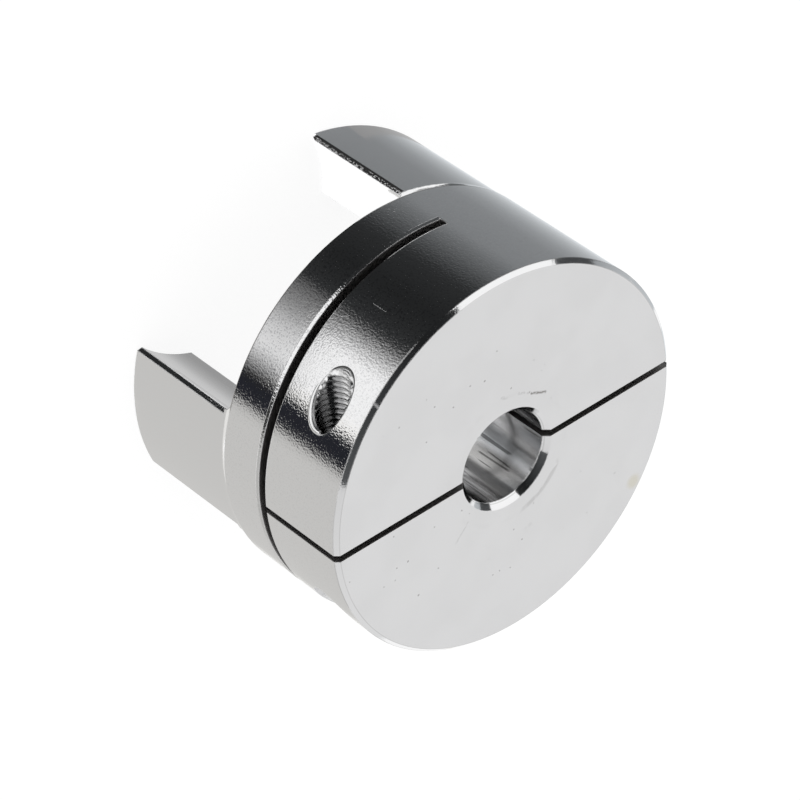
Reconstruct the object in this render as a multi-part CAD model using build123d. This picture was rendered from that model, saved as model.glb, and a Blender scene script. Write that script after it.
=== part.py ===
"""Clamping hub of a jaw coupling, with its clamp screw.

The hub is one piece of bright aluminium. A drum is turned and bored, and three claws are left
standing on its back by milling a round recess and three round pockets between them. A saw slot
behind the clamping half and a slit across the drum free two ears, and one socket head screw
draws the ears together on the shaft.

Millimetres. The origin is on the bore's axis, level with the claws' tips, and +Z runs along the
bore towards the clamp face. X runs along the slit, and the screw runs along Y.
"""
import os
from math import acos, atan2, cos, degrees, hypot, radians, sin, sqrt, tan

from build123d import *

# Drum
drum_diameter = 50.8
drum_length = 20.3
face_chamfer = 0.55

# Bore
bore_diameter = 12.0
bore_chamfer = 0.75

# Claws, and the recess and pockets that are milled between them
claw_count = 3
first_claw_angle = 60.0
claw_length = 17.6
claw_thickness = 8.4
claw_step = 0.125
step_run = 1.0
pocket_radius = 16.1
pocket_inset = 3.4
root_radius = 0.9
claw_edge_flat = 0.7
tip_edge_break = 0.2

# Saw slot behind the ears, and the slit between them
slot_depth = 13.0
slot_width = 1.0
slot_reach = 4.0
slot_rear_break = 0.45
slot_rear_drop = 0.12
slot_front_break = 0.3
slit_width = 0.9

# Clamp screw and its holes
screw_inset = 6.3
screw_depth = 6.2
thread_diameter = 5.0
thread_clearance = 0.05
tapped_edge_radius = 0.15
shank_clearance = 0.25
screw_length = 12.0
screw_end_chamfer = 0.8
head_seat = 4.6
head_diameter = 8.5
head_height = 5.0
head_edge_break = 0.4
head_clearance = 0.25
socket_across_flats = 4.0
socket_depth = 2.5
socket_chamfer = 0.2
drill_point_rise = 30.0

# Worked out from the sizes above
drum_radius = drum_diameter / 2
bore_radius = bore_diameter / 2
claw_radius = drum_radius - claw_step
recess_radius = claw_radius - claw_thickness
pocket_offset = drum_radius - pocket_inset
screw_offset = drum_radius - screw_inset
tapped_radius = thread_diameter / 2
face_height = claw_length + drum_length
slot_top = face_height - slot_depth
slot_bottom = slot_top - slot_width
slit_floor = slot_top - slot_width / 2
screw_height = face_height - screw_depth
past = 2 * drum_radius
gap_pitch = 360 / claw_count
first_gap_angle = first_claw_angle + gap_pitch / 2
screw_plane = Plane(
    origin=(-screw_offset, -head_seat, screw_height),
    x_dir=(1, 0, 0),
    z_dir=(0, -1, 0),
)


def turned(outline):
    """A solid of revolution about Z, from an outline of (radius, height) points."""
    return revolve(Plane.XZ * make_face(Polyline(*outline, close=True)), Axis.Z)


def turned_blank():
    """The drum with its face chamfer, and the slightly smaller sleeve that the claws are cut from.

    The drum runs out to the sleeve in a shallow hollow, an arc that ends tangent to the sleeve.
    """
    hollow_radius = (step_run**2 + claw_step**2) / (2 * claw_step)
    half_turn = atan2(step_run, hollow_radius - claw_step) / 2
    foot = (claw_radius, claw_length - step_run)
    middle = (
        foot[0] + hollow_radius * (1 - cos(half_turn)),
        foot[1] + hollow_radius * sin(half_turn),
    )
    top = (drum_radius, claw_length)
    outline = ThreePointArc(foot, middle, top) + Polyline(
        top,
        (drum_radius, face_height - face_chamfer),
        (drum_radius - face_chamfer, face_height),
        (0, face_height),
        (0, 0),
        (claw_radius, 0),
        foot,
    )
    return revolve(Plane.XZ * make_face(outline), Axis.Z)


def bore_cutter():
    """The bore with a chamfer at each mouth, carried on past both faces."""
    mouth_radius = bore_radius + 2 * bore_chamfer
    return turned(
        [
            (0, claw_length - bore_chamfer),
            (mouth_radius, claw_length - bore_chamfer),
            (bore_radius, claw_length + bore_chamfer),
            (bore_radius, face_height - bore_chamfer),
            (mouth_radius, face_height + bore_chamfer),
            (0, face_height + bore_chamfer),
        ]
    )


def pocket_cutter():
    """What the milling takes from between the claws: a round recess, and a round pocket in each gap.

    The rounded upper edge of this cut leaves the radius at the claws' roots.
    """
    outline = Circle(recess_radius)
    for place in PolarLocations(pocket_offset, claw_count, first_gap_angle):
        outline += place * Circle(pocket_radius)
    cutter = Pos(0, 0, -claw_length) * extrude(outline, 2 * claw_length)
    upper_face = cutter.faces().sort_by(Axis.Z)[-1]
    return fillet(upper_face.edges(), root_radius)


def claw_edge_cutters():
    """Blocks that break the claws' sharp outer edges with a narrow flat, as far as the hollow.

    A pocket meets the sleeve at half_gap from the pocket's middle. The flat leans equally to
    the claw's outside and to its flank, whose outward directions there are radial and inward.
    """
    half_gap = acos(
        (claw_radius**2 + pocket_offset**2 - pocket_radius**2) / (2 * claw_radius * pocket_offset)
    )
    corner_x = claw_radius * cos(half_gap)
    corner_y = claw_radius * sin(half_gap)
    lean_x = corner_x / claw_radius + (pocket_offset - corner_x) / pocket_radius
    lean_y = corner_y / claw_radius - corner_y / pocket_radius
    half_turn = acos(hypot(lean_x, lean_y) / 2)
    cut_depth = claw_edge_flat / 2 * tan(half_turn)
    height = claw_length - step_run
    block = Box(2 * cut_depth, 2 * claw_edge_flat, 2 * height)
    cutters = []
    for gap in range(claw_count):
        for side in (1, -1):
            place = Rot(0, 0, first_gap_angle + gap * gap_pitch)
            corner = Pos(corner_x, side * corner_y, 0)
            cutters.append(place * corner * Rot(0, 0, side * degrees(atan2(lean_y, lean_x))) * block)
    return cutters


def slot_cutters():
    """The saw slot with its broken outer edges, and the slit that parts the two ears.

    The slot's rear edge is worn off long and shallow, and its front edge at 45 degrees.
    """
    slot = Pos(slot_reach - past, 0, slot_bottom) * Box(
        past, past, slot_width, align=(Align.MIN, Align.CENTER, Align.MIN)
    )
    slit = Pos(0, 0, slit_floor) * Box(
        past, slit_width, past, align=(Align.CENTER, Align.CENTER, Align.MIN)
    )
    reach = Pos(slot_reach - past, 0, slot_bottom) * Box(
        past, past, past, align=(Align.MIN, Align.CENTER, Align.CENTER)
    )
    mouth = turned(
        [
            (drum_radius - slot_rear_drop, slot_bottom),
            (drum_radius + slot_rear_drop, slot_bottom - 2 * slot_rear_break),
            (drum_radius + slot_front_break, slot_bottom - 2 * slot_rear_break),
            (drum_radius + slot_front_break, slot_top + 2 * slot_front_break),
            (drum_radius - slot_front_break, slot_top),
        ]
    )
    return slot + slit + (mouth & reach)


def screw_hole_cutter():
    """Counterbore and clearance hole in one ear, and tapped hole in the other, on the screw's axis."""
    counterbore_radius = head_diameter / 2 + head_clearance
    clear_radius = tapped_radius + shank_clearance
    hole = turned(
        [
            (0, past),
            (counterbore_radius, past),
            (counterbore_radius, 0),
            (clear_radius, 0),
            (clear_radius, -head_seat),
            (tapped_radius, -head_seat),
            (tapped_radius, -past),
            (0, -past),
        ]
    )
    return screw_plane * hole


def hub():
    """The one-piece hub: blank, bore, pockets, edges, slots and screw holes in machining order."""
    part = turned_blank() - bore_cutter() - pocket_cutter()
    part -= claw_edge_cutters()
    tips = part.faces().filter_by(Axis.Z).group_by(Axis.Z)[0]
    part = chamfer(tips.edges(), tip_edge_break)
    part = part - slot_cutters() - screw_hole_cutter()
    tapped_mouth = Vertex(-screw_offset, sqrt(drum_radius**2 - screw_offset**2), screw_height)
    return fillet(part.edges().sort_by_distance(tapped_mouth)[0], tapped_edge_radius)


def clamp_screw():
    """Socket head cap screw, drawn head up along Z and then laid in its hole."""
    shank_radius = tapped_radius - thread_clearance
    head_radius = head_diameter / 2
    body = turned(
        [
            (0, head_height),
            (head_radius - head_edge_break, head_height),
            (head_radius, head_height - head_edge_break),
            (head_radius, 0),
            (shank_radius, 0),
            (shank_radius, screw_end_chamfer - screw_length),
            (shank_radius - screw_end_chamfer, -screw_length),
            (0, -screw_length),
        ]
    )
    hexagon = RegularPolygon(socket_across_flats / 2, 6, major_radius=False)
    socket_floor = head_height - socket_depth
    socket = Pos(0, 0, socket_floor) * extrude(hexagon, socket_depth)
    corner_radius = socket_across_flats / 2 / cos(radians(30))
    drill_point = turned(
        [
            (0, socket_floor - socket_across_flats / 2 * tan(radians(drill_point_rise))),
            (socket_across_flats / 2, socket_floor),
            (0, socket_floor),
        ]
    )
    mouth = turned(
        [
            (0, head_height - socket_chamfer),
            (corner_radius, head_height - socket_chamfer),
            (corner_radius + socket_chamfer, head_height),
            (0, head_height),
        ]
    )
    return screw_plane * (body - socket - drill_point - mouth)


parts = {"hub": hub(), "clamp_screw": clamp_screw()}
os.makedirs("parts", exist_ok=True)
for name, solid in parts.items():
    export_step(solid, f"parts/{name}.step")
    print(name, len(solid.solids()), "solid", round(solid.volume, 1), "mm3")
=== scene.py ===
# %% [markdown]
# A clamping coupling hub, dressed for the camera
#
# The hub is one piece of bright aluminium with three claws, a saw slot and a slit. One screw draws
# its two ears together on a shaft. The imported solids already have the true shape, so this lesson
# is about what they lack: a cut thread, a detailed screw, a tumbled metal finish, and the room
# that polished metal needs around it, because most of what the eye calls metal is a reflection.

# %% Load the solids
import math

import bpy
import numpy as np
from mathutils import Matrix, Vector


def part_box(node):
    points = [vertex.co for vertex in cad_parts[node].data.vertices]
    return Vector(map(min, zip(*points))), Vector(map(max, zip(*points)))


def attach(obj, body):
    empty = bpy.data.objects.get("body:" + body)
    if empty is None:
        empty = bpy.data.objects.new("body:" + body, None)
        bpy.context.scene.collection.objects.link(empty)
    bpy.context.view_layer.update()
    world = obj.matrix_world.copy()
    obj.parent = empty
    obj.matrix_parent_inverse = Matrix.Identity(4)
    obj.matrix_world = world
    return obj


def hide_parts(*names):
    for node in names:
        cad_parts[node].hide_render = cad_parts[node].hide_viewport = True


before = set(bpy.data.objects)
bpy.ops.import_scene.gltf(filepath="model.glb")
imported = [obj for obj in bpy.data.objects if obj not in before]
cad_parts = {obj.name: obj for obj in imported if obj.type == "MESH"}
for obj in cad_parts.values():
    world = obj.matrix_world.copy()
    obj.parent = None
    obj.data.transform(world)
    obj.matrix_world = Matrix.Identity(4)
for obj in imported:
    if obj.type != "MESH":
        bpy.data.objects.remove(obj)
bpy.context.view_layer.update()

MM = 0.001
print("solids:", sorted(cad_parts))

# %% [markdown]
# The sizes that the pieces share
#
# The drum's and the screw's places come from the boxes of the solids, so that nothing here drifts
# away from them. The rest are the thread's own sizes, a metric M5 with a pitch of 0.8 mm, and they
# are written once.

# %% Shared sizes
hub_low, hub_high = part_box("hub")
screw_low, screw_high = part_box("clamp_screw")
drum_radius = hub_high.x
face_height = hub_high.z
screw_x = (screw_low.x + screw_high.x) / 2
screw_z = (screw_low.z + screw_high.z) / 2
head_radius = (screw_high.x - screw_low.x) / 2
thread_radius = 2.5 * MM
thread_pitch = 0.8 * MM
thread_depth = 0.43 * MM
print("drum radius and height in mm:", round(drum_radius / MM, 2), round(face_height / MM, 2))
print("screw axis in mm, x and z:", round(screw_x / MM, 2), round(screw_z / MM, 2))

# %% [markdown]
# The camera
#
# The photograph looks down on the clamp face from the left ear's side, with the hub rolled over.
# Here the hub stands upright on its claws, so it is the camera that rolls. Its place is given as a
# bearing, a height angle and a distance from the point it looks at, and the long lens keeps the
# near rim and the far claws at nearly one scale. A matrix sets it in one step: its columns are the
# camera's right, its top and the way back to the camera.

# %% Camera
view_bearing = 126.601
view_height = 38.819
view_roll = -124.755
view_distance = 520.81 * MM
view_target = Vector((-0.858, -1.231, 19.542)) * MM
view_lens = 199.057


def direction(bearing, height):
    """The unit vector at a bearing from +X towards +Y and a height above the floor, in degrees."""
    bearing, height = math.radians(bearing), math.radians(height)
    flat = math.cos(height)
    return Vector((flat * math.cos(bearing), flat * math.sin(bearing), math.sin(height)))


back = direction(view_bearing, view_height)
level_right = Vector((0, 0, 1)).cross(back).normalized()
level_top = back.cross(level_right)
roll = math.radians(view_roll)
camera_right = level_right * math.cos(roll) - level_top * math.sin(roll)
camera_top = level_top * math.cos(roll) + level_right * math.sin(roll)
camera_data = bpy.data.cameras.new("camera")
camera_data.sensor_width = 36
camera_data.lens = view_lens
camera = bpy.data.objects.new("camera", camera_data)
bpy.context.scene.collection.objects.link(camera)
camera.matrix_world = Matrix.Translation(view_target + back * view_distance) @ Matrix(
    (camera_right, camera_top, back)
).transposed().to_4x4()
bpy.context.scene.camera = camera
bpy.context.scene.view_settings.view_transform = "Standard"
print("camera at mm:", [round(value / MM, 1) for value in camera.matrix_world.translation])

# %% [markdown]
# Shader maths as ordinary expressions
#
# A surface that changes from place to place is a formula of the point. `Field` wraps one output of
# a node and adds a Math node for each operator, so that a mask reads as `1 - edge`. `Graph.node`
# makes any other node from its type, its settings and what goes into its sockets. Colours go
# through Mix nodes instead, because a Math node would turn them grey.

# %% Shader helpers


class Field:
    """A value that varies over the surface: one output socket, with operators that add Math nodes."""

    def __init__(self, graph, socket):
        self.graph = graph
        self.socket = socket

    def math(self, operation, *others):
        """This value and the others through one Math node."""
        return self.graph.node("ShaderNodeMath", {"operation": operation}, dict(enumerate((self, *others))))

    def __add__(self, other):
        return self.math("ADD", other)

    def __sub__(self, other):
        return self.math("SUBTRACT", other)

    def __mul__(self, other):
        return self.math("MULTIPLY", other)

    def __rsub__(self, other):
        return self * -1 + other

    __radd__ = __add__
    __rmul__ = __mul__

    def above(self, limit, soft):
        """0 below the limit and 1 above it, with a smooth step that is soft wide, centred on it."""
        inputs = {"Value": self, "From Min": limit - soft / 2, "From Max": limit + soft / 2}
        return self.graph.node(
            "ShaderNodeMapRange", {"interpolation_type": "SMOOTHSTEP", "clamp": True}, inputs
        )

    def below(self, limit, soft):
        """1 below the limit and 0 above it."""
        return 1 - self.above(limit, soft)

    def between(self, low, high, soft):
        """1 from low to high and 0 elsewhere."""
        return self.above(low, soft) * self.below(high, soft)


class Graph:
    """The node tree of one material or world, emptied and ready to be filled."""

    def __init__(self, owner):
        owner.use_nodes = True
        self.tree = owner.node_tree
        self.tree.nodes.clear()

    def node(self, kind, settings=None, inputs=None, output=0):
        """A node of that kind. Settings go first, then values or fields go into its sockets."""
        made = self.tree.nodes.new(kind)
        for name, value in (settings or {}).items():
            setattr(made, name, value)
        for name, value in (inputs or {}).items():
            if isinstance(value, Field):
                self.tree.links.new(value.socket, made.inputs[name])
            else:
                made.inputs[name].default_value = value
        return Field(self, made.outputs[output]) if made.outputs else None

    def place(self):
        """The point on the piece, in metres, as a vector and as its x, y and z."""
        point = self.node("ShaderNodeTexCoord", output="Object")
        parts = [self.node("ShaderNodeSeparateXYZ", inputs={0: point}, output=axis) for axis in range(3)]
        return point, parts

    def noise(self, point, scale, detail=2.0, roughness=0.5):
        """Cloudy noise between 0 and 1 with features about 1 / scale metres wide."""
        inputs = {"Vector": point, "Scale": scale, "Detail": detail, "Roughness": roughness}
        return self.node("ShaderNodeTexNoise", inputs=inputs)

    def mix(self, share, first, second):
        """The first colour where share is 0 and the second where it is 1."""
        settings = {"data_type": "RGBA"}
        return self.node("ShaderNodeMix", settings, {0: share, 6: first, 7: second}, output=2)

    def finish(self, shader, kind="ShaderNodeOutputMaterial"):
        """Joins the shader to the output of the material or world."""
        self.node(kind, inputs={0: shader})


print("operators on fields: + - *")

# %% [markdown]
# A surface from a formula
#
# Every new piece here is a grid of points worked out at once by numpy: two parameters run over the
# grid, a formula turns them into x, y and z, and the grid becomes the vertices of a mesh. Grids that
# close on themselves share their first and last column, so that no seam is left open.

# %% Grids into meshes


def grid_faces(rows, columns, closed, looped):
    """Quads between neighbouring rows and columns. A closed grid joins its last column to its first,
    and a looped one its last row to its first."""
    row, column = np.meshgrid(
        np.arange(rows if looped else rows - 1), np.arange(columns if closed else columns - 1), indexing="ij"
    )
    next_row = (row + 1) % rows
    next_column = (column + 1) % columns
    corners = ((row, column), (row, next_column), (next_row, next_column), (next_row, column))
    return np.stack([(up * columns + along).ravel() for up, along in corners], axis=1)


def fan(columns, first, centre, turned):
    """Triangles from one closed row of vertices to a centre vertex, turned over where that is asked."""
    around = np.arange(columns)
    beside = (around + 1) % columns
    pair = (beside, around) if turned else (around, beside)
    return np.stack([np.full(columns, centre), first + pair[0], first + pair[1]], axis=1)


def surface(name, points, closed=False, looped=False, start_fan=False, end_fan=False, sharp_angle=30):
    """An object from a grid of points, rows by columns by 3. A fan closes its first or last row."""
    rows, columns = points.shape[:2]
    faces = grid_faces(rows, columns, closed, looped).tolist()
    vertices = points.reshape(-1, 3)
    if start_fan:
        faces += fan(columns, 0, len(vertices), True).tolist()
        vertices = np.concatenate([vertices, points[0].mean(0)[None]])
    if end_fan:
        faces += fan(columns, (rows - 1) * columns, len(vertices), False).tolist()
        vertices = np.concatenate([vertices, points[-1].mean(0)[None]])
    mesh = bpy.data.meshes.new(name)
    mesh.from_pydata(vertices.tolist(), [], faces)
    mesh.shade_smooth()
    mesh.set_sharp_from_angle(angle=math.radians(sharp_angle))
    made = bpy.data.objects.new(name, mesh)
    bpy.context.scene.collection.objects.link(made)
    print(name, "has", len(mesh.polygons), "faces")
    return made


def enclosed(piece):
    """The volume inside a closed piece in mm3, by the divergence theorem. It is negative inside out."""
    mesh = piece.data
    mesh.calc_loop_triangles()
    corners = np.empty(len(mesh.loop_triangles) * 3, np.int32)
    mesh.loop_triangles.foreach_get("vertices", corners)
    places = np.empty(len(mesh.vertices) * 3, np.float32)
    mesh.vertices.foreach_get("co", places)
    first, second, third = places.reshape(-1, 3)[corners].reshape(-1, 3, 3).astype(float).transpose(1, 0, 2)
    return float((first * np.cross(second, third)).sum() / 6 / MM**3)


# %% [markdown]
# The floor and the white room
#
# A plain white world lights everything evenly, so that a colour renders about as it is written. The
# floor is a wide pale disc. To the camera, to mirrors and through glass it also glows a little, so
# that it reads as the white background, and because the rest of its brightness is real light, the
# hub's shadow stays on it. Mirrors look through it, because the hub's polished sides would show
# little but the floor: they see the same white of the room below, and the cards that hang there.

# %% World and floor
world = bpy.data.worlds.new("white_room")
bpy.context.scene.world = world
graph = Graph(world)
white_light = graph.node("ShaderNodeBackground", inputs={"Color": (1, 1, 1, 1), "Strength": 1.0})
graph.finish(white_light, "ShaderNodeOutputWorld")

floor_radius = 4.0
floor_drop = 0.05 * MM
floor_glow = 0.88
rings = np.array([0.0, 0.02, 0.05, 0.15, 0.5, 1.5, floor_radius])[1:, None]
turn = np.linspace(0, 2 * np.pi, 96, endpoint=False)[None, :]
disc = np.stack([rings * np.cos(turn), rings * np.sin(turn), np.full((6, 96), -floor_drop)], axis=2)
floor = surface("floor", disc, closed=True, start_fan=True)
floor_material = bpy.data.materials.new("pale_floor")
graph = Graph(floor_material)
seen_by = [graph.node("ShaderNodeLightPath", output=name) for name in
           ("Is Camera Ray", "Is Glossy Ray", "Is Transmission Ray")]
watched = seen_by[0].math("MAXIMUM", seen_by[1]).math("MAXIMUM", seen_by[2])
paint = graph.node("ShaderNodeBsdfDiffuse", inputs={"Color": (0.16, 0.16, 0.16, 1)})
glow = graph.node("ShaderNodeEmission", inputs={"Color": (1, 1, 1, 1), "Strength": watched * floor_glow})
graph.finish(graph.node("ShaderNodeAddShader", inputs={0: paint, 1: glow}))
floor.data.materials.append(floor_material)
floor.visible_glossy = False

# %% [markdown]
# Cards for the metal to mirror
#
# Polished metal has no shade of its own: its dark and light bands are pictures of what stands round
# it. A studio hangs dark and grey cards for that, and so does this one. A card is a patch of a wide
# sphere round the hub, between two heights, that glows with its own grey. Its level runs through a
# few stops, each at a bearing, so that one card can fade along its length. Only mirrors see it: it
# throws no shadow, gives no light and never stands before the camera. Where no card hangs, the
# metal mirrors the white room. The drum's side at an angle s turns the view to the bearing 2 s - b,
# where b is the camera's bearing, and that is how a card is hung for a band on the drum.

# %% Card helper
card_distance = 0.8
card_step = 1.5
card_rows = 20


def card_material(name, tint):
    """A glow of that tint, as strong as the level stored at each point of the card."""
    material = bpy.data.materials.new(name)
    graph = Graph(material)
    level = graph.node("ShaderNodeAttribute", {"attribute_name": "level"}, output="Fac")
    graph.finish(graph.node("ShaderNodeEmission", inputs={"Color": (*tint, 1), "Strength": level}))
    return material


def card(name, heights, stops, tint=(1, 1, 1), fall=0.0):
    """A sphere patch, centre + distance times direction, whose level fades between stops of (bearing, level).

    Away from its middle height the level falls, by the share fall within eight degrees.
    """
    stops = np.array(stops, float)
    columns = int((stops[-1, 0] - stops[0, 0]) / card_step) + 2
    bearing = np.linspace(stops[0, 0], stops[-1, 0], columns)[None, :]
    height = np.linspace(*heights, card_rows)[:, None]
    level = np.interp(bearing, stops[:, 0], stops[:, 1])
    level = level * (1 - fall * np.clip(np.abs(height - np.mean(heights)) / 8, 0, 1))
    turned, raised = np.radians(bearing), np.radians(height)
    flat = np.cos(raised)
    grid = np.broadcast_arrays(flat * np.cos(turned), flat * np.sin(turned), np.sin(raised))
    points = np.array([0, 0, face_height / 2]) + card_distance * np.stack(grid, axis=2)
    glowing(surface(name, points), level, tint)


def glowing(piece, level, tint=(1, 1, 1)):
    """Gives a stage piece its own glow, one level or one for each point, and shows it to mirrors alone."""
    stored = piece.data.attributes.new("level", "FLOAT", "POINT")
    levels = np.broadcast_to(level, (len(piece.data.vertices),)) if np.ndim(level) == 0 else np.ravel(level)
    stored.data.foreach_set("value", levels.astype(np.float32))
    piece.data.materials.append(card_material(piece.name, tint))
    only_in_mirrors(piece)


def only_in_mirrors(piece):
    """Hides a stage piece from everything but reflections."""
    piece.visible_camera = False
    piece.visible_diffuse = False
    piece.visible_shadow = False
    piece.visible_transmission = False
    piece.visible_volume_scatter = False


# %% [markdown]
# The cards
#
# Most of what shows of the drum and the claws mirrors one height, about 39 degrees below level, so
# the low cards make the bands along the drum: grey fading to black on one side, a white gap for the
# bright band, a narrow strip of dusk, and warm grey over the left claw. The cards above them meet the
# chamfers and the clamp face, and the floor of the room is dark on the camera's side, where it draws
# thin dark lines along rounded edges.

# %% Cards
cool = (0.93, 0.97, 1.0)
warm = (1.0, 0.99, 0.965)
dusk = (0.85, 0.9, 1.15)
low_cool = ((312, 0.95), (329, 0.64), (341, 0.47), (353, 0.34), (366, 0.265), (392, 0.235), (404, 0.15))
card("low_cool_card", (-43, -20), low_cool, cool)
card("under_cool_card", (-68, -43), ((312, 0.7), (335, 0.12), (352, 0.12)), cool)
low_black = ((44, 0.15), (54, 0.085), (64, 0.03), (76, 0.024), (88, 0.018), (101, 0.024), (112, 0.04))
card("low_black_card", (-58, -20), low_black, cool)
low_bright = ((112, 0.04), (120, 0.43), (130, 1.02), (158, 1.02))
card("low_bright_card", (-47, -29), low_bright, fall=0.2)
card("low_edge_card", (-49, -22), ((158, 1.0), (164, 0.9), (165, 0.022)), warm)
card("low_strip_card", (-49, -22), ((165, 0.022), (181, 0.022)), dusk)
low_warm = ((181, 0.022), (184, 0.5), (190, 0.59), (276, 0.61), (284, 0.63), (294, 0.9))
card("low_warm_card", (-49, -22), low_warm, warm)
card("under_warm_card", (-80, -49), ((197, 0.85), (285, 0.85)), warm)
card("under_black_card", (-88, -47), ((112, 0.03), (158, 0.04)), cool)
card("under_dark_card", (-88, -49), ((158, 0.04), (197, 0.05)), cool)
card("deep_black_card", (-88, -58), ((60, 0.05), (112, 0.05)), cool)
card("side_black_card", (-20, 20), ((40, 0.08), (60, 0.08), (78, 0.02), (108, 0.03)), cool)
card("side_strip", (-22, -3), ((160, 0.05), (182, 0.03), (188, 0.5), (250, 0.46)), warm)
card("above_black_card", (20, 30), ((48, 0.05), (108, 0.03)), cool)
card("rim_grey_card", (-18, 12), ((330, 0.6), (350, 0.51), (363, 0.36), (372, 0.16), (400, 0.09)), cool)
card("rim_dark_card", (12, 24), ((-6, 0.08), (22, 0.06)), cool)
card("camera_black_card", (30, 74), ((74, 0.02), (100, 0.015), (150, 0.05), (190, 0.09)), cool)
card("pale_card", (-2, 74), ((190, 0.68), (250, 0.75), (345, 0.76)))

# %% [markdown]
# Plates on the floor
#
# Some things that the metal mirrors are close by, so no far card can stand for them. The inner side
# of one claw mirrors the floor beside it, which is white in the photograph, and its narrow edge
# mirrors a dark patch further out. The other claw's inner side mirrors the floor under the hub, and
# the drum's rear ring mirrors a duller patch of floor than the ear above it does. Each wall turns
# the view to a bearing of its own at every point, so such a plate runs out from the wall along those
# bearings, with one level along each of them. The claws' sides are hollow mirrors, and their
# bearings cross about eight millimetres out, so their plates hang well below the floor, where the
# bearings have parted again. The white plate hangs just under the claws' tips, so that the broken
# edges of the tips mirror it as well.

# %% Plates
over_floor = 0.1 * MM
under_tips = -0.5 * MM
hung_low = -30 * MM


def plate(name, x, y, level, height=over_floor):
    """A flat card at one height from a grid of x and y in metres, and its levels on the same grid."""
    x, y, level = np.broadcast_arrays(x, y, level)
    glowing(surface(name, np.stack([x, y, np.full(x.shape, height)], axis=2)), level)


def span(low, high, steps=8):
    """Evenly spaced values from low to high, given in mm."""
    return np.linspace(low, high, steps) * MM


def thrown_plate(name, foot, facing, reach, level, height=over_floor):
    """A plate that runs out from a wall: foot + reach times (cos v, sin v), with v = 2 facing - view bearing.

    The wall faces the bearing facing at each foot, and v is where it turns the camera's view to.
    """
    away = span(*reach, 24)[:, None]
    turned = np.radians(2 * facing - view_bearing)
    plate(name, foot[0] + away * np.cos(turned), foot[1] + away * np.sin(turned), level, height)


def on_circle(centre_x, centre_y, circle_radius, angle):
    """The points (x, y) of a circle at angles in degrees."""
    turned = np.radians(angle)
    return centre_x + circle_radius * np.cos(turned), centre_y + circle_radius * np.sin(turned)


plate("claw_white_plate", span(-17, 5.5)[None, :], span(7, 26)[:, None], 1.12, under_tips)
plate("edge_black_plate", span(-16, 4.2)[None, :], span(24.62, 43)[:, None], 0.03)
pocket_x, pocket_y = on_circle(0, 0, 22 * MM, 120)
pocket_radius = 16.1 * MM
turn = np.linspace(217, 254, 38)[None, :]
flank_level = np.interp(turn, (218, 223, 229, 235, 241, 247, 254), (0.3, 0.56, 0.61, 0.57, 0.44, 0.34, 0.3))
foot = on_circle(pocket_x, pocket_y, pocket_radius, turn)
thrown_plate("flank_plate", foot, turn - 180, (32, 68), flank_level, hung_low)
turn = np.linspace(-8, 15, 24)[None, :]
foot = on_circle(pocket_x, pocket_y, pocket_radius, turn)
thrown_plate("root_white_plate", foot, turn + 180, (42, 66), 1.12, hung_low)
side = np.linspace(118, 148, 31)[None, :]
rear_stops = (119, 121, 126, 132, 138, 141, 144, 147)
rear_level = np.interp(side, rear_stops, (0.1, 0.16, 0.3, 0.62, 0.78, 0.56, 0.26, 0.02))
thrown_plate("rear_plate", on_circle(0, 0, drum_radius, side), side, (16, 30.3), rear_level)

# %% [markdown]
# Where a point lies on the hub
#
# The hub was turned and milled, then tumbled and brightened. Pictures of such a finish would need an
# unwrapped surface and would blur up close, so it is worked out from each point's own place instead.
# These are the measures that all its parts share: how far the point is from the bore's axis and from
# the screw's, which way it lies, and whether it is on the drum's side, on the face or in a hole.

# %% Measures on the hub
bore_radius = 6 * MM
claw_top = 17.6 * MM
slot_low, slot_high, slot_reach = 23.9 * MM, 24.9 * MM, 4.0 * MM
slit_half = 0.45 * MM
face_chamfer = 0.55 * MM
hair = 0.01 * MM


def apart(first, second, place):
    """The distance of two coordinates from a place, the root of the sum of both offsets squared."""
    off_first, off_second = first - place[0], second - place[1]
    return (off_first * off_first + off_second * off_second).math("SQRT")


class HubPoint:
    """The shaded point on the hub, with the measures and masks that the finish is drawn by."""

    def __init__(self, graph):
        self.graph = graph
        self.point, (self.x, self.y, self.z) = graph.place()
        self.radius = (self.x * self.x + self.y * self.y).math("SQRT")
        self.turn = self.y.math("ARCTAN2", self.x)
        self.side = self.radius.above(drum_radius - 0.7 * MM, 0.2 * MM)
        self.on_face = self.z.above(face_height - 0.05 * MM, 0.05 * MM)
        self.in_bore = self.radius.below(bore_radius + 0.05 * MM, 0.05 * MM)
        self.tapped_ear = self.y.above(0, MM)
        self.from_screw = apart(self.x, self.z, (screw_x, screw_z))
        self.in_thread = self.from_screw.below(thread_radius - hair, hair) * self.tapped_ear

    def noise(self, scale, detail):
        """Noise that is fixed to the hub."""
        return self.graph.noise(self.point, scale, detail)


print("measures on the hub: radius, turn, distance from the screw's axis")

# %% [markdown]
# The grain and the dents
#
# Tumbling leaves a fine orange peel, a few degrees of waviness a quarter of a millimetre wide, which
# breaks the border between two reflections into sparkle. A bump of noise does that at its real size.
# It is full on the drum's side, calmer towards both ends of what the camera sees of it, and faint on
# the rest. The worn edge behind the slot and the claws' sharp edges took dents, which are more noise
# in the same bump. The deepest pits get a little grey as painted shade.

# %% Grain and dents
grain_height = 0.018 * MM
break_width = 0.46 * MM


def drum_share(at):
    """The share of full grain, 1 on the drum's side and 0.4 at both ends of what shows of it."""
    calm = (at.x.above(0, 8 * MM) * 0.6).math("MAXIMUM", at.x.below(-23 * MM, 2 * MM) * 0.6)
    return at.side * at.z.between(claw_top, face_height - 0.5 * MM, 0.2 * MM) * (1 - calm)


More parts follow.
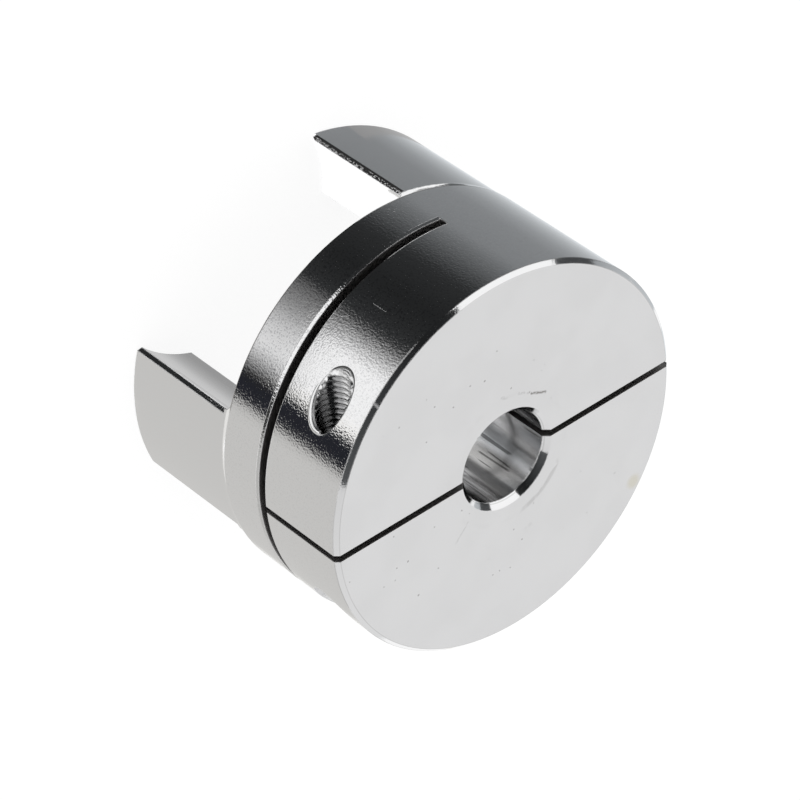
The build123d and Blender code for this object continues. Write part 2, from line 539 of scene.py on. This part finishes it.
def pit_painted_shade(at):
    """How much painted shade the deepest pits get: most in a band above the tapped hole and on the ring
    behind the slot.
    """
    rear_ring = at.turn.between(2.05, 2.62, 0.2) * at.z.below(slot_low, 0.1 * MM)
    return (0.22 + 0.4 * at.turn.between(1.85, 2.2, 0.3)).math("MAXIMUM", 0.5 * rear_ring)


def dents(at):
    """The height of the dents in the worn edge, and in the claws' edges, few of them on the left claw."""
    rear_break = at.z.between(slot_low - break_width, slot_low, 0.05 * MM) * at.x.below(slot_reach, 0.2 * MM)
    worn = at.noise(3000, 2.0) * rear_break * at.side * (0.7 + 1.5 * at.turn.above(2.0, 0.1))
    claw_edge = at.radius.between(drum_radius - 0.75 * MM, drum_radius - 0.34 * MM, 0.08 * MM)
    claw_edge = claw_edge * at.z.below(claw_top, MM) * (0.12 + 0.88 * at.x.above(0, 2 * MM))
    return worn + at.noise(5200, 1.0).above(0.63, 0.14) * 1.5 * claw_edge


print("grain height in mm:", grain_height / MM)

# %% [markdown]
# Streaks in the bore
#
# The tool left streaks along the bore. Noise on an unrolled point makes them: its first coordinate is
# the arc round the bore, and the height is squeezed to almost nothing, so that each patch of noise is
# drawn out into a long streak. A second noise, squeezed less, breaks off the thin lines. The streaks
# are relief in the bump, and their dark bands and thin lines are a painted dark reflection, over a
# faint painted shade of the whole bore.

# %% Bore streaks
long_squeeze, short_squeeze = 0.03, 0.4


def unrolled(at, squeeze):
    """The point as arc, squeezed height and radius."""
    inputs = {0: at.turn * bore_radius, 1: at.z * squeeze, 2: at.radius}
    return at.graph.node("ShaderNodeCombineXYZ", inputs=inputs)


def bore_streaks(at):
    """The streaks' noise, and the bore's painted shade: a faint shade everywhere, and a painted dark
    reflection on broad bands and on thin lines where the noise is close to a half.
    """
    streaked = unrolled(at, long_squeeze)
    band = at.graph.noise(streaked, 420, 3.0)
    present = at.graph.noise(unrolled(at, short_squeeze), 330, 1.0).above(0.5, 0.06)
    line = (at.graph.noise(streaked, 760, 1.0) - 0.5).math("ABSOLUTE").below(0.03, 0.02) * present
    return band, at.in_bore * (0.05 + 0.5 * band.above(0.56, 0.1)).math("MAXIMUM", line * 0.85)


print("a streak is", round(1 / long_squeeze), "times as long as it is wide")

# %% [markdown]
# Sawn walls and the tapped hole, with painted shade
#
# The slot and the slit were sawn after the turning, so their walls are dull, and their colour is
# darkened as painted shade of the deep slot and slit. The tapped hole's walls would mirror too much of
# the white room, so their colour is darkened as painted shade, and more so on the left and in the
# middle, where a dark reflection is painted, with a thin painted shadow line on the right of the rim.

# %% Sawn walls and tapped hole, with painted shade
rim_shade_width = 0.13 * MM
mouth_depth = 0.4 * MM
across_x, across_z = 0.87, 0.5


def sawn_shaded_walls(at):
    """1 on the walls of the slot, and on those of the slit down to the middle of the slot: rougher there, and
    darker as painted shade.
    """
    slot = at.z.between(slot_low - hair, slot_high + hair, hair) * at.x.below(slot_reach, 0.2 * MM)
    slit = at.y.math("ABSOLUTE").below(slit_half + hair, hair)
    slit_floor = (slot_low + slot_high) / 2
    return slot.math("MAXIMUM", slit * at.z.above(slit_floor - 2 * hair, 2 * hair))


def tapped_hole_painted_shade(at):
    """Three masks of painted shade: a thin painted shadow line on the rim, the darker walls below the mouth,
    and those walls' left and middle, where a dark reflection is painted.
    """
    across = (at.x - screw_x) * across_x + (at.z - screw_z) * across_z
    rim = at.from_screw.between(thread_radius, thread_radius + rim_shade_width, 0.04 * MM) * at.tapped_ear
    walls = at.in_thread * at.radius.below(drum_radius - mouth_depth, 0.3 * MM)
    return rim * across.above(0.4 * MM, 0.8 * MM), walls, walls * across.below(1.4 * MM, 0.6 * MM)


print("slot in mm, low and high:", round(slot_low / MM, 2), round(slot_high / MM, 2))

# %% [markdown]
# Marks of use, and painted edge shade
#
# The face has a faint rubbed ring round the bore, specks, short strokes and a pale brown stain. The
# drum has two scratches, and its chamfer a nick. A stroke is drawn by the distance to the line between
# its two ends, which stays sharp at any size and needs no picture. Thin grey lines along the edges of
# the chamfer are a painted shadow of those edges, and the line along the drum's back edge is a painted
# dark reflection.

# %% Marks, and painted edge shade
wear_radius, wear_half = 8.75 * MM, 0.3 * MM
stain_place, stain_radius = (18.8 * MM, -14.5 * MM), 0.9 * MM
line_half = 0.06 * MM
face_strokes = (
    ((4.26, 7.29), (6.31, 6.37), 0.3, 1.0), ((2.51, 8.30), (3.87, 7.58), 0.4, 0.25),
    ((-0.06, 9.03), (0.61, 8.77), 0.4, 0.3), ((1.9, -11.9), (2.7, -11.5), 0.7, 0.12),
    ((-8.4, -7.7), (-6.4, -5.7), 0.3, 0.16), ((15.9, -11.5), (16.1, -11.5), 0.25, 0.4),
)
drum_scratches = (
    ((-10.13, 28.8), (-10.13, 31.0), 0.09), ((-13.05, 26.5), (-12.55, 27.3), 0.1),
    ((-17.75, 37.3), (-17.5, 37.8), 0.3),
)


def stroke(across, along, start, end, width):
    """1 on a stroke between two points of a plane, given in mm, by the distance to its nearest point."""
    (x0, y0), (x1, y1) = start, end
    length = math.hypot(x1 - x0, y1 - y0)
    step_x, step_y = (x1 - x0) / length, (y1 - y0) / length
    across, along = across - x0 * MM, along - y0 * MM
    share = (across * step_x + along * step_y).math("MAXIMUM", 0.0).math("MINIMUM", length * MM)
    off_x, off_y = across - share * step_x, along - share * step_y
    return (off_x * off_x + off_y * off_y).math("SQRT").below(width / 2 * MM, width * MM)


def face_marks(at):
    """How dark the marks on the face are: ring, specks and haze together, or a stroke if it is darker."""
    ring = at.radius.between(wear_radius - wear_half, wear_radius + wear_half, 0.4 * MM)
    rubbed = ring * at.noise(420, 4.0).above(0.5, 0.1) * (0.05 + 0.45 * at.turn.between(-1.35, -0.5, 0.3))
    specks = at.noise(1900, 0.0).above(0.83, 0.03) * at.noise(90, 0.0).above(0.55, 0.1)
    drawn = 0.5 * rubbed + 0.5 * specks + 0.04 * at.noise(130, 3.0).above(0.5, 0.3)
    ragged = 0.35 + 0.65 * at.noise(2400, 2.0).above(0.48, 0.1)
    for start, end, width, strength in face_strokes:
        drawn = drawn.math("MAXIMUM", stroke(at.x, at.y, start, end, width) * strength * ragged)
    return at.on_face * drawn


def painted_edge_shade(at):
    """How dark the painted lines are: a painted shadow along both edges of the chamfer, and a painted dark
    reflection along the drum's back edge between claws.
    """
    below_face, inner_rim = face_height - face_chamfer, drum_radius - face_chamfer
    chamfer_edge_shade = at.radius.between(inner_rim - line_half, inner_rim + line_half, line_half) * at.on_face
    chamfer_edge_shade = chamfer_edge_shade + at.z.between(below_face - line_half, below_face + line_half, line_half)
    back_edge_shade = at.z.between(claw_top, claw_top + 0.16 * MM, 0.04 * MM) * at.side
    return 0.22 * chamfer_edge_shade + 0.75 * back_edge_shade * at.turn.between(0.7, 2.77, 0.04)


def scratched(at):
    """1 on the scratches of the drum and on the nick, which lie on the tapped ear's side."""
    strokes = [stroke(at.x, at.z, *scratch) for scratch in drum_scratches]
    return sum(strokes[1:], strokes[0]) * at.side * at.tapped_ear


print("strokes on the face and the drum:", len(face_strokes), len(drum_scratches))

# %% [markdown]
# Bright tumbled aluminium
#
# Here it all meets. The heights go to one Bump node, over a Bevel node that rounds the shading of
# every edge by a fifth of a millimetre. The colour starts as clean metal with its stain, and each
# mask mixes a darker grey over it: the face's marks are the metal's own, and the other greys are
# painted shade. The sawn walls, the bore and the scratches are rougher.

# %% Aluminium
edge_round = 0.2 * MM


def aluminium():
    """The finish of the whole hub: bright tumbled aluminium with its bore, the slot's and slit's walls, its
    marks and its painted shade.
    """
    material = bpy.data.materials.new("bright_aluminium")
    graph = Graph(material)
    at = HubPoint(graph)
    pits = at.noise(4200, 1.0)
    drum_side = drum_share(at)
    band, bore_painted_shade = bore_streaks(at)
    sawn_and_shaded = sawn_shaded_walls(at)
    painted_rim_shade, painted_wall_shade, painted_middle_shade = tapped_hole_painted_shade(at)
    stain = apart(at.x, at.y, stain_place).below(stain_radius, stain_radius) * at.on_face

    grain = pits * (0.12 + 0.08 * at.side + 0.8 * drum_side) * (1 - at.in_thread)
    height = grain + dents(at) + 0.4 * band * at.in_bore
    edge = graph.node("ShaderNodeBevel", {"samples": 4}, {"Radius": edge_round})
    inputs = {"Strength": 1.0, "Distance": grain_height, "Height": height, "Normal": edge}
    bump = graph.node("ShaderNodeBump", inputs=inputs)

    colour = graph.mix(stain * 0.6, (0.9, 0.9, 0.905, 1), (0.8, 0.76, 0.62, 1))
    for share, dark in (
        # painted shade in the deepest pits of the grain
        (pits.below(0.4, 0.16) * drum_side * pit_painted_shade(at), (0.4, 0.4, 0.42, 1)),
        # painted shade in the bore, and a painted dark reflection on its streaks
        (bore_painted_shade, (0.2, 0.2, 0.2, 1)),
        # real marks of use on the face, and painted shade along the chamfer's edges and the drum's back edge
        (face_marks(at) + painted_edge_shade(at), (0.3, 0.29, 0.28, 1)),
        # painted shadow line on the right of the tapped hole's rim
        (painted_rim_shade, (0.07, 0.07, 0.07, 1)),
        # the darker grey of the slot's and slit's walls is painted shade of the deep slot and slit
        (sawn_and_shaded, (0.37, 0.362, 0.357, 1)),
        # painted shade on the tapped hole's walls below the mouth
        (painted_wall_shade, (0.74, 0.74, 0.74, 1)),
        # painted dark reflection on the left and middle of those walls
        (painted_middle_shade, (0.36, 0.36, 0.365, 1)),
    ):
        colour = graph.mix(share, colour, dark)
    roughness = 0.075 + 0.4 * sawn_and_shaded + 0.1 * at.in_bore + 0.4 * scratched(at)
    inputs = {"Base Color": colour, "Metallic": 1.0, "Roughness": roughness, "Normal": bump}
    graph.finish(graph.node("ShaderNodeBsdfPrincipled", inputs=inputs))
    return material


bright = aluminium()
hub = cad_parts["hub"]
hub.data.materials.clear()
hub.data.materials.append(bright)
print("hub wears", bright.name)

# %% [markdown]
# The tapped thread
#
# A tap cuts M5 into the left ear, and the open hole shows its ridges. The ridge of a metric thread
# has sides at 30 degrees to the square, a crest flat of a quarter of the pitch and a root flat of an
# eighth. The piece is a sleeve just inside the drilled wall: its inner side follows the helix, and
# its outer side is sunk into the hub. Its mouth follows the rounded rim, where the ridges run out,
# because a deburring tool or the tumbling took their ends.

# %% Tapped thread
rim_round = 0.15 * MM
sleeve_columns = 112
sleeve_rows = 300
root_radius = thread_radius - 0.03 * MM


def ridge(along, angle):
    """The ridge of the tapped thread, 0 in the root and 1 on the crest.

    The phase of a right-hand helix is y / pitch + angle / turn, where the angle runs from x to z. The
    distance from the nearest whole phase gives a flat, a straight flank and a flat.
    """
    phase = along / thread_pitch + angle / (2 * np.pi)
    return np.clip((np.abs(phase - np.round(phase)) - 1 / 16) * 16 / 5, 0, 1)


def around_screw(radius, angle, along):
    """Points at a radius and an angle about the screw's axis: x + r cos a, y, z + r sin a."""
    x, z = screw_x + radius * np.cos(angle), screw_z + radius * np.sin(angle)
    return np.stack(np.broadcast_arrays(x, along, z), axis=-1)


def tapped_sleeve():
    """The thread of the hole: r = root - depth * ridge * fade inside, and a plain skin outside.

    The wall ends at the rim, y = sqrt(R^2 - x^2), less the length r tan(a / 2) that the rounding of
    radius r takes, where a is the angle between the two walls' normals.
    """
    angle = np.linspace(0, 2 * np.pi, sleeve_columns, endpoint=False)[None, :]
    rim_x = screw_x + thread_radius * np.cos(angle)
    lean = -rim_x * np.cos(angle) / drum_radius
    mouth = np.sqrt(drum_radius**2 - rim_x**2) - rim_round * np.sqrt((1 - lean) / (1 + lean))
    start = slit_half + 0.02 * MM
    along = start + np.linspace(0, 1, sleeve_rows)[:, None] * (mouth - start)
    fade = np.clip((mouth - along) / (0.25 * MM), 0, 1)
    inside = root_radius - (thread_depth - 0.03 * MM) * ridge(along, angle) * fade
    skin = thread_radius + 0.02 * MM
    inner_wall = around_screw(inside, angle, along)
    back_wall = [around_screw(skin, angle, end) for end in (mouth, start + 0 * angle)]
    return np.concatenate([inner_wall, *back_wall])


thread = surface("tapped_thread", tapped_sleeve(), closed=True, looped=True, sharp_angle=80)
thread.data.materials.append(bright)
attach(thread, "root")
print("the sleeve holds", round(enclosed(thread), 1), "mm3 of metal")

# %% [markdown]
# The worn lip of the tapped hole
#
# The hole leaves the round drum at a slant, so on one side its rim is a thin wedge. Tumbling beats
# such a wedge over into a smooth lip, and it shines as a white crescent beside the hole. It is a tube
# along that part of the rim, mostly sunk in the metal, that swells from nothing to two fifths of a
# millimetre and back. Its metal is rubbed to a satin, so that each point gathers the light of a wide
# piece of the room.

# %% Worn lip
lip_from, lip_to = 170, 288
lip_radius = 0.43 * MM
lip_sunk = 0.28 * MM


def lip_tube():
    """A tube along the rim: rim - sunk * s + r (cos a * s + sin a * t x s).

    s is the middle direction between the outward directions of the drum and of the hole's wall, t runs
    along the rim, and r swells as the root of the sine of pi * share ** 0.65, fullest a third of the way.
    """
    share = np.linspace(0.01, 0.99, 60)
    angle = np.radians(lip_from + share * (lip_to - lip_from))[:, None]
    rim_x = screw_x + thread_radius * np.cos(angle)
    rim_y = np.sqrt(drum_radius**2 - rim_x**2)
    rim = np.concatenate([rim_x, rim_y, screw_z + thread_radius * np.sin(angle)], axis=1)
    flat = 0 * angle
    drum_out = np.concatenate([rim_x / drum_radius, rim_y / drum_radius, flat], axis=1)
    outward = drum_out - np.concatenate([np.cos(angle), flat, np.sin(angle)], axis=1)
    outward /= np.linalg.norm(outward, axis=1, keepdims=True)
    along = np.gradient(rim, axis=0)
    along /= np.linalg.norm(along, axis=1, keepdims=True)
    across = np.cross(along, outward)
    around = np.linspace(0, 2 * np.pi, 24, endpoint=False)[None, :, None]
    swell = lip_radius * np.sqrt(np.sin(np.pi * share**0.65))[:, None, None]
    centre = (rim - lip_sunk * outward)[:, None, :]
    return centre + swell * (np.cos(around) * outward[:, None, :] + np.sin(around) * across[:, None, :])


worn_aluminium = bpy.data.materials.new("worn_aluminium")
graph = Graph(worn_aluminium)
inputs = {"Base Color": (0.96, 0.96, 0.96, 1), "Metallic": 1.0, "Roughness": 0.32}
graph.finish(graph.node("ShaderNodeBsdfPrincipled", inputs=inputs))

lip = surface("worn_lip", lip_tube(), closed=True, start_fan=True, end_fan=True, sharp_angle=80)
lip.data.materials.append(worn_aluminium)
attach(lip, "root")
print("the lip holds", round(enclosed(lip), 2), "mm3 of metal")

# %% [markdown]
# The clamp screw
#
# The screw is a socket head cap screw, M5 by 12, seen only through the counterbore and the slit. The
# real one is cold headed, its hexagon is pressed, its head is knurled for the fingers, and its thread
# is rolled. One grid makes it all: each ring of points has the same angles, and only its radius and
# its place along the axis change, so that the hexagon and the knurl are rings with a wavy radius.

# %% Clamp screw
screw_columns = 192
tip, head_top = screw_high.y, screw_low.y
seat = head_top + 5.0 * MM
shank_radius = 2.45 * MM
tip_chamfer = 0.8 * MM
head_round = 0.4 * MM
socket_half = 2.0 * MM
socket_depth = 2.5 * MM
knurl_count = 48


def screw_rings():
    """Rings from the tip up the thread and round the head to the bottom of the socket.

    The hexagon is r = h / cos(a), with a the angle from the middle of the nearest flat. The knurl is
    a triangle wave round the head. The thread is the hole's own, kept a little inside it.
    """
    angle = np.linspace(0, 2 * np.pi, screw_columns, endpoint=False)
    sixth = np.pi / 3
    hexagon = socket_half / np.cos(angle - sixth * np.round(angle / sixth))
    wave = knurl_count * angle / (2 * np.pi)
    knurl = 0.24 * MM * np.abs(wave - np.round(wave))
    mouth = socket_half / np.cos(sixth / 2) + 0.2 * MM
    rings = [(0.8 * MM, tip), (shank_radius - tip_chamfer, tip)]
    for along in np.linspace(tip, seat + 0.2 * MM, 190)[1:]:
        run_out = min(1, (along - seat) / MM)
        thread = shank_radius - thread_depth * ridge(along, angle) * run_out
        rings.append((np.minimum(thread, shank_radius - tip_chamfer + tip - along), along))
    for step in np.radians([30, 60, 90]):
        rings.append((shank_radius + 0.2 * MM * (1 - math.cos(step)), seat + 0.2 * MM * (1 - math.sin(step))))
    rings += [(head_radius - 0.15 * MM, seat), (head_radius, seat - 0.15 * MM)]
    rings += [(head_radius, seat - 0.6 * MM)]
    rings += [(head_radius - knurl, seat - 0.7 * MM), (head_radius - knurl, head_top + head_round + 0.2 * MM)]
    rings += [(head_radius, head_top + head_round + 0.1 * MM)]
    for step in np.radians([0, 30, 60, 90]):
        inward, down = 1 - math.cos(step), 1 - math.sin(step)
        rings.append((head_radius - head_round * inward, head_top + head_round * down))
    rings += [(mouth, head_top), (hexagon, head_top + mouth - hexagon), (hexagon, head_top + socket_depth)]
    for share in (0.98, 0.5, 0.05):
        depth = socket_depth + socket_half * (1 - share) * math.tan(sixth / 2)
        rings.append((socket_half * share, head_top + depth))
    return np.stack([around_screw(radius, angle, along + 0 * angle) for radius, along in rings])


black_steel = bpy.data.materials.new("black_steel")
graph = Graph(black_steel)
point, parts = graph.place()
worn = graph.noise(point, 900, 3.0).above(0.62, 0.1)
colour = graph.mix(worn, (0.035, 0.036, 0.04, 1), (0.09, 0.09, 0.095, 1))
inputs = {"Base Color": colour, "Metallic": 0.7, "Roughness": 0.34}
graph.finish(graph.node("ShaderNodeBsdfPrincipled", inputs=inputs))

screw = surface("cap_screw", screw_rings(), closed=True, start_fan=True, end_fan=True, sharp_angle=40)
screw.data.materials.append(black_steel)
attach(screw, "root")
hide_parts("clamp_screw")
print("the screw holds", round(enclosed(screw), 1), "mm3 of steel")
